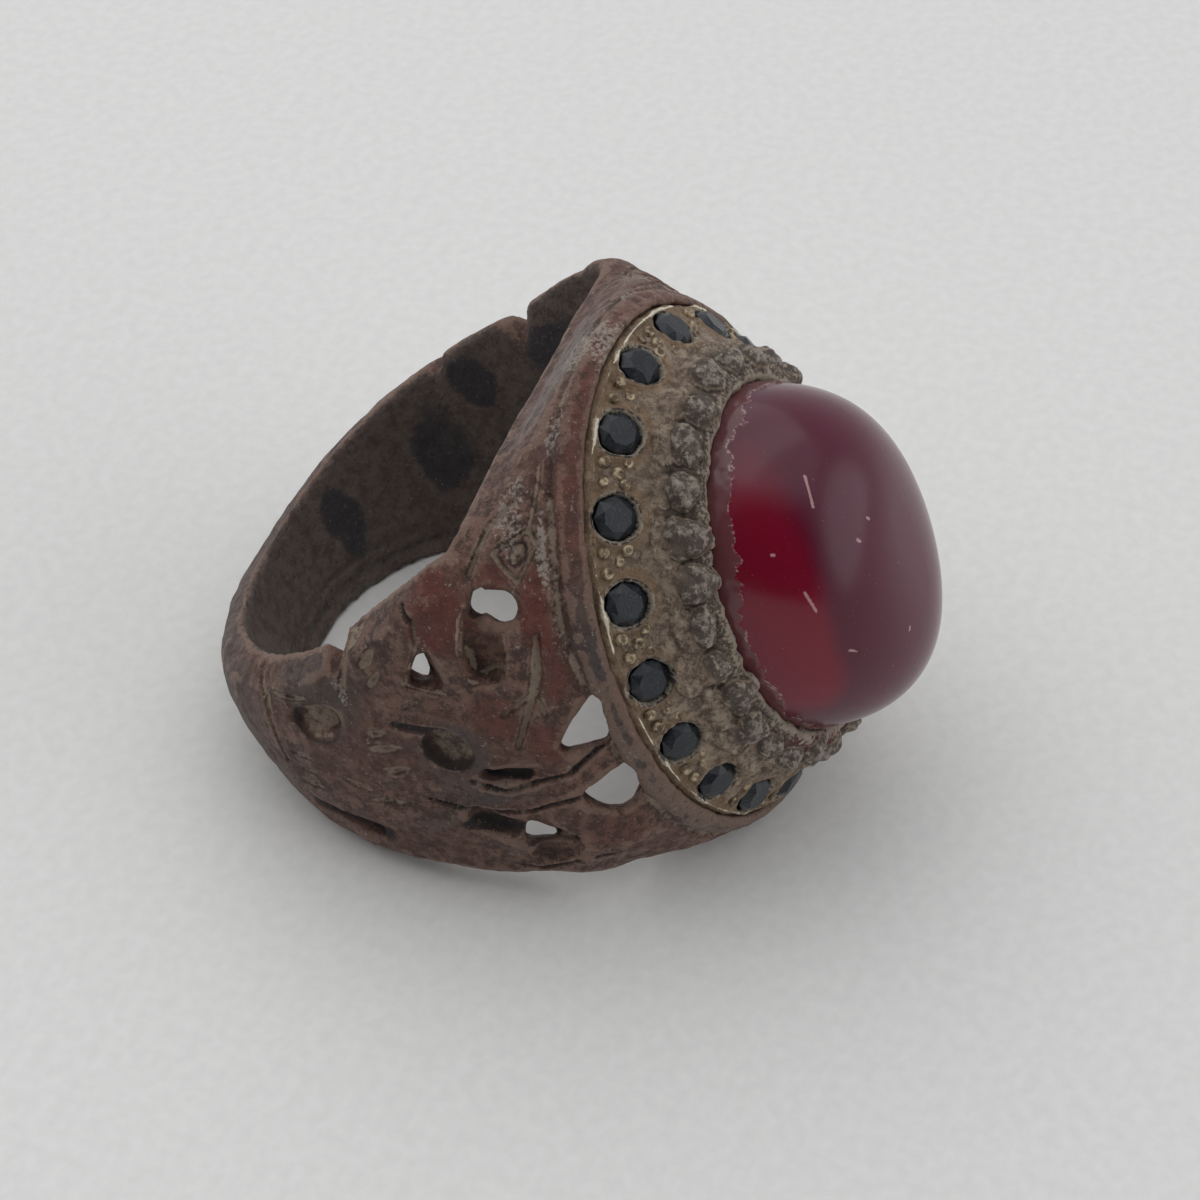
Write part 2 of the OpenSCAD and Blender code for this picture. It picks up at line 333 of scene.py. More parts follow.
# Tarnished cast copper alloy: brown with age, red oxide on the flats, beige dirt
# in the cuts, black tarnish inside, bare brown metal with a painted highlight on
# the edges, and painted shade in the grooves and hollows. Its clouds are a few mm
# across, its mottling under a mm
COPPER_PATTERNS = [["cloud", 3.2, 3, 0.5], ["mottle", 0.55, 6, 0.75], ["speck", 0.16, 3, 0.6]]
COPPER_COATS = [
    ["", "mottle", 1, -0.08, 0.09, 1, "#7e5d4f"],
    ["", "cloud", 1, -0.08, 0.12, 0.5, "#613c30"],
    ["red", "mottle", 2, 0.2, 1.0, 0.75, "#682b21"],
    ["grey", "mottle", 1.8, 0.25, 1.0, 0.8, "#4a433e"],
    # Dark marks in the cuts, and painted shade in the grooves and sunken places
    ["dark", "mottle", 1.2, 0.1, 0.9, 0.95, "#2a2524"],
    ["inner", "mottle", 1.4, 0.1, 1.1, 0.9, "#7a706a"],
    ["black", "cloud", 2, 0.15, 0.9, 0.85, "#3c3b42"],
    # Rubbed bare metal on the bulges, with a painted highlight
    ["edge", "mottle", 1.6, 0.4, 0.85, 0.65, "#8a6f60"],
    ["dirt", "mottle", 2, 0.3, 0.85, 0.85, "#a69481"],
    ["dust", "speck", 3, 0.5, 1.0, 0.75, "#a89e93"],
    ["", "speck", 1, 0.13, 0.2, 0.55, "#a49b90"],
    ["", "speck", -1, 0.11, 0.19, 0.65, "#211c1a"],
]

# Gilt brass under packed polish and dirt: golden brown by the small stones,
# grey-beige crust above them, grey-brown bare metal on the claws, and a painted
# highlight on the claws' crowns and worn edges. Painted shade darkens the gaps
# between the claws and the plate's hollows
BRASS_PATTERNS = [["cloud", 2.2, 3, 0.5], ["mottle", 0.42, 6, 0.76], ["speck", 0.13, 3, 0.6]]
BRASS_COATS = [
    ["", "mottle", 1, -0.1, 0.1, 1, "#ab9883"],
    ["", "cloud", 1, -0.1, 0.1, 0.4, "#7e6c5b"],
    ["gold", "cloud", 1.5, 0.4, 1.1, 0.6, "#84694b"],
    ["claw", "mottle", 1.2, 0.3, 0.8, 0.9, "#584c44"],
    # Painted highlight on the claws' crowns, over their rubbed metal
    ["claw", "mottle", 2.4, 0.9, 1.2, 0.85, "#a69a8e"],
    # Painted shade between the claws and in the plate's hollows
    ["dark", "mottle", 1.2, 0.2, 0.9, 0.9, "#3b322c"],
    ["halo", "mottle", 2, 0.4, 0.8, 0.9, "#28292d"],
    ["red", "mottle", 1.5, 0.3, 0.8, 0.8, "#662c31"],
    # Worn edges with a painted highlight
    ["edge", "speck", 2, 0.4, 0.9, 0.75, "#b9ac99"],
    ["gilt", "speck", 1.2, 0.3, 0.6, 1, "#f0e4cc"],
    ["", "speck", -1, 0.12, 0.2, 0.55, "#2a231e"],
]

# Small cast beads whose gilding is rubbed to brass on top
BEAD_PATTERNS = [["mottle", 0.3, 4, 0.6], ["speck", 0.1, 2, 0.5]]
BEAD_COATS = [["", "mottle", 1, -0.1, 0.1, 1, "#ac9a7e"]]

# Polished cabochon of cloudy dark red glass, with a pink-brown crust of polish
# at its foot, hairline scratches and a bloom of handling
STONE_PATTERNS = [["cloud", 3.5, 3, 0.5], ["mottle", 0.35, 5, 0.7], ["speck", 0.12, 2, 0.5]]
STONE_COATS = [
    # Painted glow of the light that passes into the stone's side
    ["glow", "cloud", 0.6, 0.2, 0.9, 1, "#780423"],
    ["crust", "mottle", 2.2, 0.4, 0.75, 0.75, "#6a4445"],
    ["line", "speck", 2.5, 0.6, 1.1, 0.85, "#a98a85"],
    ["scratch", "speck", 1, 0.15, 0.7, 0.65, "#cfa6a6"],
]

# Machine-faceted glass, almost black blue, dull from wear
DARK_PATTERNS = [["mottle", 0.4, 4, 0.7], ["speck", 0.1, 2, 0.5]]
DARK_COATS = [
    ["", "mottle", 1, -0.06, 0.16, 1, "#20252c"],
    ["", "speck", 1, 0.1, 0.22, 0.4, "#4a4c50"],
]

# Matt white card with a faint tooth under a mm
CARD_PATTERNS = [["tooth", 0.6, 3, 0.5], ["speck", 0.2, 2, 0.5]]
CARD_COATS = [["", "tooth", 1, -0.3, 0.3, 1, "#ebeae7"]]


def length(name, description, default, low, high):
    """A length in metres for a property group."""
    return FloatProperty(
        name=name, description=description, default=default, min=low, max=high,
        unit="LENGTH", subtype="DISTANCE")


class RingBodySizes(bpy.types.PropertyGroup):
    """Sizes of the cast body's surface."""
    voxel: length(
        "Mesh size", "Side of the body's mesh cells before they are refined",
        0.000195, 0.00019, 0.0004)
    softening: IntProperty(
        name="Softening", description="Rounds of smoothing that wear the edges down",
        default=2, min=1, max=20)
    fineness: length(
        "Fineness", "Side of the mesh's triangles at the shoulder work", 0.0001, 0.0001, 0.0002)
    pitting: length("Pitting", "Depth of the cast surface's unevenness", 0.00007, 0, 0.0003)


class SettingSizes(bpy.types.PropertyGroup):
    """Sizes of the plate that holds the stones."""
    claw_height: length(
        "Claw height", "How far each bead claw stands off the plate", 0.00062, 0.0003, 0.001)
    crust: length("Crust", "Roughness of the dirt that is packed on the plate", 0.0001, 0, 0.0003)
    bead: length(
        "Bead size", "Radius of the small beads between the accent stones",
        0.00021, 0.0001, 0.0004)


class StoneSizes(bpy.types.PropertyGroup):
    """Sizes of the main stone."""
    half_width: length(
        "Half width", "Half the main stone's width across the finger", 0.00605, 0.0058, 0.0061)
    dome: length("Dome", "Height of the main stone's dome over its girdle", 0.0067, 0.005, 0.0068)


class StageSizes(bpy.types.PropertyGroup):
    """The camera's lens and the light on the card."""
    lens: FloatProperty(
        name="Lens", description="Focal length for a sensor 36 mm wide",
        default=79.43, min=20, max=200, unit="CAMERA")
    key: FloatProperty(
        name="Key light", description="Power of the large soft light",
        default=0.86, min=0, max=100, unit="POWER")
    sky: FloatProperty(
        name="Sky", description="Strength of the even light from all round",
        default=0.66, min=0, max=3)


# Strokes cut in each shoulder, in mm, in the plane of y along the finger and h
# towards the head. Each starts with [y, h, half width] and goes on with the cut
# up to the next place: [y, h, half width, depth, dirt in it, darkness in it]
STROKES = [
    # feather
    [[5.28, 9.2, 0.12], [3.9, 8.79, 0.27, 0.16, 1, 0], [3.12, 8.42, 0.26, 0.16, 1, 0]],
    [[3.12, 8.42, 0.2], [0.71, 6.75, 0.12, 0.16, 1, 0]],
    [[3.12, 8.42, 0.16], [2.37, 6.85, 0.1, 0.12, 0.9, 0]],
    [[3.12, 8.42, 0.16], [2.03, 8.43, 0.1, 0.12, 0.7, 0]],
    # open stroke
    [[8.25, 7.47, 0.09], [9.04, 7.99, 0.12, 0.14, 1, 0], [9.4, 8.94, 0.1, 0.14, 1, 0]],
    # teardrop and its tail
    [[8.56, 9.46, 0.09], [8.47, 8.28, 0.1, 0.12, 0.8, 0.1], [7.32, 9.01, 0.1, 0.12, 0.9, 0],
     [8.05, 9.67, 0.1, 0.12, 0.8, 0], [8.56, 9.46, 0.09, 0.12, 0.8, 0]],
    [[8.56, 9.46, 0.08], [9.41, 9.67, 0.06, 0.08, 0.7, 0], [9.9, 9.65, 0.05, 0.06, 0.7, 0]],
    # outline of the long recess
    [[7.57, 7.8, 0.1], [7.0, 6.99, 0.12, 0.08, 0.7, 0], [5.64, 6.42, 0.14, 0.1, 0.8, 0],
     [4.15, 6.35, 0.14, 0.1, 0.9, 0], [4.4, 7.7, 0.12, 0.1, 0.9, 0],
     [5.79, 8.15, 0.1, 0.08, 0.6, 0]],
    # edges of the three-cornered recess
    [[6.41, 5.02, 0.1], [4.54, 3.63, 0.08, 0.06, 0.7, 0]],
    [[4.54, 3.5, 0.08], [3.85, 5.05, 0.1, 0.08, 0.9, 0]],
    [[7.7, 4.72, 0.1], [7.22, 5.1, 0.1, 0.12, 0.2, 0.5], [6.41, 4.95, 0.1, 0.1, 0.8, 0.1]],
    # seams between the cast ribs
    [[-0.6, 4.24, 0.08], [-0.94, 4.63, 0.1, 0.14, 0.6, 0.2], [-1.36, 5.41, 0.12, 0.2, 0.4, 0.3],
     [-1.16, 6.77, 0.1, 0.18, 0.5, 0.3], [-1.08, 8.15, 0.1, 0.12, 0.2, 0.3]],
    [[-1.08, 8.15, 0.12], [0.1, 10.1, 0.15, 0.14, 0, 0.4]],
    [[-1.53, 1.85, 0.08], [-2.18, 3.13, 0.1, 0.14, 0.2, 0.5], [-2.6, 4.7, 0.1, 0.14, 0.2, 0.5]],
    [[-2.6, 4.7, 0.12], [-2.75, 5.82, 0.1, 0.14, 0.6, 0.2], [-2.5, 6.8, 0.1, 0.14, 0.1, 0.5],
     [-2.33, 8.04, 0.1, 0.12, 0, 0.5]],
    [[-5.92, 3.7, 0.07], [-6.31, 4.63, 0.08, 0.1, 0.4, 0.4], [-5.9, 6.4, 0.06, 0.1, 0.2, 0.6]],
    [[-5.9, 7.17, 0.06], [-6.06, 7.68, 0.06, 0.1, 0.2, 0.6]],
    # rim of the outer lobe, and the seam between the lobes
    [[4.3, -4.5, 0.16], [3.45, -3.95, 0.2, 0.14, 0.8, 0], [1.61, -4.43, 0.14, 0.12, 0.7, 0.1],
     [0.21, -4.56, 0.08, 0.08, 0.5, 0.1]],
    [[4.3, 0.5, 0.2], [5.7, 1.08, 0.2, 0.14, 0.9, 0]],
    # broad hollows and dark places
    [[-0.49, 4.95, 0.25], [-0.75, 6.4, 0.3, 0.12, 0, 0.9]],
    [[-3.1, 2.9, 0.3], [-3.6, 4.7, 0.45, 0.12, 0.2, 0.8]],
    [[-4.4, 5.1, 0.35], [-4.6, 6.6, 0.4, 0.15, 0.5, 0.4]],
    [[4.6, 2.0, 0.45], [3.6, -2.4, 0.4, 0.03, 0, 0.35]],
    [[1.9, 4.2, 0.3], [2.6, 2.2, 0.2, 0.1, 0, 0.6]],
    [[-2.4, -4.4, 0.45], [-3.6, -1.4, 0.5, 0.12, 0, 0.8]],
]

# The cuts one by one: [y, h, y, h, half width at each end, depth, dirt, darkness]
CUTS = np.array([
    [*a[:2], *b[:2], a[2], *b[2:]] for stroke in STROKES for a, b in zip(stroke, stroke[1:])
])

# Small engraved rings: [y, h, half length, half width, turn in degrees]
LOOPS = np.array([
    [6.31, 1.67, 0.5, 0.13, 50], [5.74, 2.32, 0.5, 0.16, 48],
    [4.79, 2.25, 0.42, 0.12, 50], [3.8, -2.5, 0.75, 0.09, 88],
    [2.21, 1.16, 0.36, 0.16, 85], [1.42, 1.24, 0.6, 0.15, 92],
    [0.32, 1.2, 0.5, 0.12, 90], [3.53, 3.39, 0.3, 0.08, 70],
    [0.77, -3.45, 0.4, 0.1, 95], [-0.12, -3.55, 0.35, 0.09, 92],
    [-0.87, -3.64, 0.45, 0.1, 94], [-0.6, -1.05, 0.45, 0.12, 120],
    [-1.51, -0.04, 0.6, 0.09, 100],
])

# Filled pits: [y, h, radius along y, along h, depth]
PITS = np.array([
    [1.07, 3.89, 1.05, 1.0, 0.1], [2.6, -1.6, 0.85, 1.05, 0.07],
    [8.1, 9.1, 0.35, 0.3, 0.22],
])

# Patches on the shoulders, each [y, h, radius along y, along h, strength]: red
# oxide, grey-brown tarnish, and pale dust in the folds
RED = np.array([
    [7.3, 6.1, 1.9, 1.4, 1.0], [5.9, 9.3, 2.1, 0.6, 1.0], [3.6, 9.2, 1.4, 0.7, 0.8],
    [2.4, 6.6, 1.6, 1.1, 0.7], [0.8, 8.0, 1.3, 1.2, 0.7], [7.6, 8.3, 0.9, 0.8, 0.8],
    [-1.6, 2.6, 0.8, 2.0, 0.35], [-4.6, 8.6, 1.2, 1.4, 0.5], [-2.4, 6.6, 0.5, 1.6, 0.4],
])
GREY = np.array([
    [4.2, -1.0, 2.4, 3.0, 0.9], [1.2, 4.6, 1.3, 1.6, 0.7], [-1.6, 5.6, 0.8, 2.2, 0.6],
    [3.4, -5.2, 3.0, 1.4, 0.6], [0.6, 9.3, 1.6, 0.6, 0.9], [-4.6, 4.6, 0.9, 1.6, 0.6],
])
DUST = np.array([
    [9.6, 8.6, 0.8, 0.6, 0.8], [9.0, 8.9, 1.2, 0.5, 0.6], [7.7, 9.8, 1.4, 0.22, 0.9],
    [5.4, 9.9, 1.6, 0.15, 0.5], [10.8, 10.0, 0.9, 0.5, 0.9], [3.1, -4.1, 0.7, 0.5, 0.3],
    [4.3, 0.5, 0.8, 0.35, 0.7], [6.3, 5.2, 0.7, 0.25, 0.5],
])


def segment_distance(p, start, end):
    """Distance of points to a segment, and the place of the nearest point on
    it, from 0 at its start to 1 at its end."""
    span = end - start
    t = np.clip((p - start) @ span / (span @ span), 0, 1)
    return np.linalg.norm(p - start - t[:, None] * span, axis=1), t


def shoulder_relief(y, h):
    """Depth, dirt and darkness of the shoulder work at points of its plane, each
    the strongest of any mark there. A cut is a round groove, full depth in its
    middle and nothing a little past its width, with a thin dark border where
    dirt lies in it. A small ring is an oval of dirt round a dark middle. A pit is
    a filled dent with a dark edge."""
    least_width, deepened, border = 0.1, 1.4, 0.07
    p, out = np.stack([y, h], 1), np.zeros((3, len(y)))
    for row in CUTS:
        d, t = segment_distance(p, row[:2], row[2:4])
        width = np.maximum(row[4] + (row[5] - row[4]) * t, least_width)
        e = d / width
        out = np.maximum(out, [
            deepened * row[6] * smooth(1.2, 0.3, e),
            row[7] * smooth(1.0, 0.4, e),
            row[8] * smooth(1.4, 0.5, e) + 0.4 * row[7] * bell(d - width, border, border),
        ])
    for row in LOOPS:
        turn = math.radians(row[4])
        u = ((y - row[0]) * math.cos(turn) + (h - row[1]) * math.sin(turn)) / row[2]
        v = ((h - row[1]) * math.cos(turn) - (y - row[0]) * math.sin(turn)) / row[3]
        e = np.hypot(u, v)
        ring = bell(e, 0.85, 0.45)
        out = np.maximum(out, [
            0.15 * ring, 1.2 * ring, 0.5 * bell(e, 1.8, 0.35) + 0.4 * smooth(0.5, 0.1, e)])
    for row in PITS:
        e = np.hypot((y - row[0]) / row[2], (h - row[1]) / row[3])
        out = np.maximum(out, [
            row[4] * smooth(1.1, 0.8, e), 0.55 * smooth(1.0, 0.7, e), 0.8 * bell(e, 1.02, 0.12)])
    return out


# Lower edge of the band and head along the finger: [h, y]
LOW_EDGE = np.array([
    [-11, -1.9], [-9.4, -2.5], [-7.8, -3.4], [-4.6, -5.0], [0, -6.3], [3.5, -7.3], [6.7, -8.3],
])

# Black stains inside the hole: [degrees from the back, y, radius round the hole,
# radius along the finger]
STAINS = np.array([
    [24, 0.5, 1.0, 2.1], [58, 0.9, 1.6, 2.5], [74, 3.6, 1.2, 1.6], [103, 4.2, 2.0, 2.2],
    [-35, -0.8, 1.2, 1.5], [-66, 1.2, 1.7, 2.2],
])


def patches(y, h, table, raggedness):
    """Strongest of a table's patches at each point, with soft, ragged edges."""
    out = np.zeros(len(y))
    for row in table:
        e = np.hypot((y - row[0]) / row[2], (h - row[1]) / row[3])
        out = np.maximum(out, row[4] * smooth(1.2, 0.5, e + raggedness))
    return out


def stains(x, y, h, raggedness):
    """Share of black stain at each point inside the hole, from the table."""
    back = np.degrees(np.arctan2(x, -h))
    out = np.zeros(len(y))
    for row in STAINS:
        round_hole = (back - row[0]) * np.pi / 180 * HOLE_R
        e = np.hypot(round_hole / row[2], (y - row[1]) / row[3])
        out = np.maximum(out, smooth(1.15, 0.6, e + raggedness))
    return out


class RING_OT_body(bpy.types.Operator):
    """Makes the cast body: the CAD body's own shape, softened as by wear and
    refined where it carries work, with the shoulder work, pits and unevenness
    pressed into it along its normals"""
    bl_idname = "ring.body"
    bl_label = "Cast body"

    def execute(self, context):
        sizes = context.scene.ring_body
        co, faces = self.worn_mesh(sizes)
        normal = point_normals(co, faces)
        x, y, h = co.T
        # Outside of the shoulders, below the rim
        out_x = np.sign(x) * normal[:, 0]
        side = smooth(0.15, 0.45, out_x) * smooth(RIM_FOOT + 0.15, RIM_FOOT, h)
        depth, dirt, dark = shoulder_relief(y, h) * side
        # Groove under the rim, all the way round the head
        radial = np.hypot(normal[:, 0], normal[:, 1])
        outward = (normal[:, 0] * x + normal[:, 1] * y) > 0
        under = bell(h - 10.1, 0.08 * np.sin(y), 0.14) * (radial > 0.4) * outward
        depth = np.maximum(depth, 0.16 * under)
        dirt = np.maximum(dirt, 0.8 * under * smooth(-0.6, 0.2, noise(co, size=1.1, seed=5)))
        # Inside of the hole, with two worn grooves along its lower edge
        reach = np.hypot(x, h)
        inward = -(normal[:, 0] * x + normal[:, 2] * h) / np.maximum(reach, 1)
        inside = smooth(0.2, 0.6, inward) * smooth(11.3, 10.6, reach)
        from_edge = y - np.interp(h, LOW_EDGE[:, 0], LOW_EDGE[:, 1])
        from_edge = from_edge + 0.12 * noise(co, size=3, seed=16)
        groove = inside * (bell(from_edge, 0.75, 0.16) + 0.8 * bell(from_edge, 1.5, 0.14))
        depth = np.maximum(depth, 0.12 * groove)
        # Unevenness of the casting
        rough = sizes.pitting * 1000
        lump = rough * noise(co, size=2.2, seed=1)
        lump += 0.6 * rough * noise(co, size=0.5, seed=2, octaves=2)
        # Low welts and dents along the cast ribs of the lower half
        bend = 1.5 * noise(co, size=3.5, seed=17, octaves=2)
        rib = np.sin(1.9 * (y + 0.35 * h) + bend)
        lump += 0.07 * rib * side * smooth(1.5, -1.5, y) * smooth(-9, -5, h)
        co = co + normal * (lump - depth)[:, None]
        piece = add_object("cast_body", co, [faces], finish_material(
            "tarnished cast copper alloy", COPPER_PATTERNS, "#4a342b", COPPER_COATS,
            ["mottle", 0.3, 0.7, 0.68, 0.4], ["mottle", 1.8, "speck", 0.7, 0.14],
            Metallic=0.2), ("ring_body",))
        # Where the surface bulges it is worn bright, with a painted highlight; where it
        # sinks it is dirty, and darkened with painted shade
        bulge = smoothed(bulge_of(co, faces, normal)[:, None], faces, [0.6])[:, 0]
        sunk = smooth(0.008, 0.035, -bulge)
        ragged = 0.3 * noise(co, size=0.9, seed=8)
        # Red oxide reaches the rim at its upper end, grey tarnish at its lower
        rim = smooth(RIM_FOOT - 0.05, RIM_FOOT + 0.15, h) * (radial > 0.3)
        red_rim = rim * smooth(4.0, 8.5, y + 2 * noise(co, size=4, seed=12, octaves=2))
        red = patches(y, h, RED, ragged) * side + 0.6 * red_rim
        grey = 0.9 * rim * (1 - red_rim)
        grey += 0.6 * smooth(0.0, -0.4, noise(co, size=4, seed=18)) * side
        grey += 0.7 * smooth(-4.5, -8, h) * (1 - inside)
        grey += 0.8 * patches(y, h, GREY, ragged) * side
        # Dust also lies on the head's two ends and on the rim
        ends = smooth(2.0, 0.6, np.abs(x)) * smooth(9.8, 10.6, np.abs(y)) * smooth(8.6, 9.4, h)
        dust = patches(y, h, DUST, ragged) * side + 0.75 * ends
        dust += 0.35 * rim * smooth(0.1, 0.5, ragged * 3)
        add_layers(
            piece, dirt=dirt + 0.5 * sunk * side * smooth(-0.1, 0.5, noise(co, size=1.7, seed=3)),
            # Painted shade: the grooves inside the hole and the sunken places are darkened
            dark=dark + 0.5 * groove + 0.5 * sunk, inner=0.75 * inside,
            black=inside * stains(x, y, h, ragged),
            # Painted highlight on the bulges, over their rubbed bare metal
            edge=smooth(0.007, 0.03, bulge) * (1 - 0.6 * inside) * (1 - 0.5 * red),
            red=red, grey=grey, dust=dust)
        return {"FINISHED"}

    def worn_mesh(self, sizes):
        """Triangles of the CAD body with its edges worn down: each round of
        softening pulls the points in and then part of the way out again."""
        co, quads = self.voxel_copy(sizes.voxel * 1000)
        co = smoothed(co, quads, [0.55, -0.4] * sizes.softening)
        faces = np.concatenate([quads[:, [0, 1, 2]], quads[:, [0, 2, 3]]])
        fine = sizes.fineness * 1000
        for step in range(2):
            co, faces = halve_sides(co, faces, lambda a, b: self.too_long(a, b, fine))
            co = smoothed(co, faces, [0.3])
        return co, faces

    def too_long(self, a, b, fine):
        """Whether a side is over 1.4 times fine and lies at the work on a
        shoulder's outside."""
        middle = (a + b) / 2
        work = np.max([shoulder_relief(p[:, 1], p[:, 2]) for p in (a, middle, b)], axis=(0, 1))
        x, h = np.abs(middle[:, 0]), middle[:, 2]
        outer = (x > 2.5) & (np.hypot(x, h) > HOLE_R + 0.8) & (h > -9) & (h < RIM_FOOT + 0.2)
        return outer & (work > 0.02) & (np.linalg.norm(b - a, axis=1) > 1.4 * fine)

    def voxel_copy(self, voxel):
        """The CAD body as even quads of the given size in mm, in the ring frame."""
        co, corners = mesh_arrays(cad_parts["ring_body"].data)
        co = to_ring(co)
        _, first, place = np.unique(
            np.round(co, 4), axis=0, return_index=True, return_inverse=True)
        mesh = bpy.data.meshes.new("merged")
        mesh.from_pydata(co[first], [], place.ravel()[corners].reshape(-1, 3))
        mesh.update()
        merged = linked("merged", mesh)
        cells = merged.modifiers.new("cells", "REMESH")
        cells.mode = "VOXEL"
        cells.voxel_size = voxel
        cells.adaptivity = 0
        shown = merged.evaluated_get(bpy.context.evaluated_depsgraph_get()).to_mesh()
        co, corners = mesh_arrays(shown)
        if len(corners) != 4 * len(shown.polygons):
            raise RuntimeError("the body's cells aren't all quads")
        merged.to_mesh_clear()
        bpy.data.objects.remove(merged)
        bpy.data.meshes.remove(mesh)
        return co, corners.reshape(-1, 4).astype(np.int64)


def length_along(p):
    """Length from the first point of a line to each of its points."""
    return np.concatenate([[0], np.cumsum(np.linalg.norm(np.diff(p, axis=0), axis=1))])


def oval_run(a):
    """Angles round the oval of half width a, an eighth of a degree apart, and
    the length of the oval up to each."""
    t = np.linspace(0, 2 * np.pi, 2881)
    return t, length_along(np.stack([a * np.cos(t), (a + OVAL_EXTRA) * np.sin(t)], 1))


def oval_angles(a, count):
    """Angles of places evenly spaced by length round the oval of half width a,
    each in the middle of its share."""
    t, run = oval_run(a)
    return np.interp((np.arange(count) + 0.5) / count * run[-1], run, t)


def oval_frame(a, t, h, lean=0.0):
    """Point on an oval and its axes there: out along the oval's normal leaned
    over by the angle, along it, and up."""
    p = np.stack([a * np.cos(t), (a + OVAL_EXTRA) * np.sin(t), np.full_like(t, h)], 1)
    out = np.stack([np.cos(t) / a, np.sin(t) / (a + OVAL_EXTRA), 0 * t], 1)
    out /= np.linalg.norm(out, axis=1, keepdims=True)
    up = np.array([0, 0, 1.0])
    along = np.cross(up, out)
    leaned = math.cos(lean) * out - math.sin(lean) * up
    raised = math.cos(lean) * up + math.sin(lean) * out
    return p, leaned, along, raised


# Upper face of the setting, from the rim in to the claws' tips, and then down the
# well's wall and in under the stone: [distance out from the well's oval, height]
PLATE_TOP = np.array([
    [3.25, 10.65], [3.25, 11.2], [3.23, 11.42], [3.12, 11.42], [3.03, 11.36], [2.4, 12.03],
    [1.62, 12.72], [1.3, 13.25], [0.95, 13.75], [0.62, 14.2], [0.3, 14.5], [0.05, 14.48],
])
PLATE_WELL = [[0.02, 13.9], [0.02, 12.6], [0.02, 11.25], [-3.0, 11.2], [-3.0, 10.62]]
PLATE_ROWS = 78
PLATE_COLUMNS = 1152

# Mean heights of the claws' feet and tips
CLAW_FOOT = 13.0
CLAW_TIP = 14.5


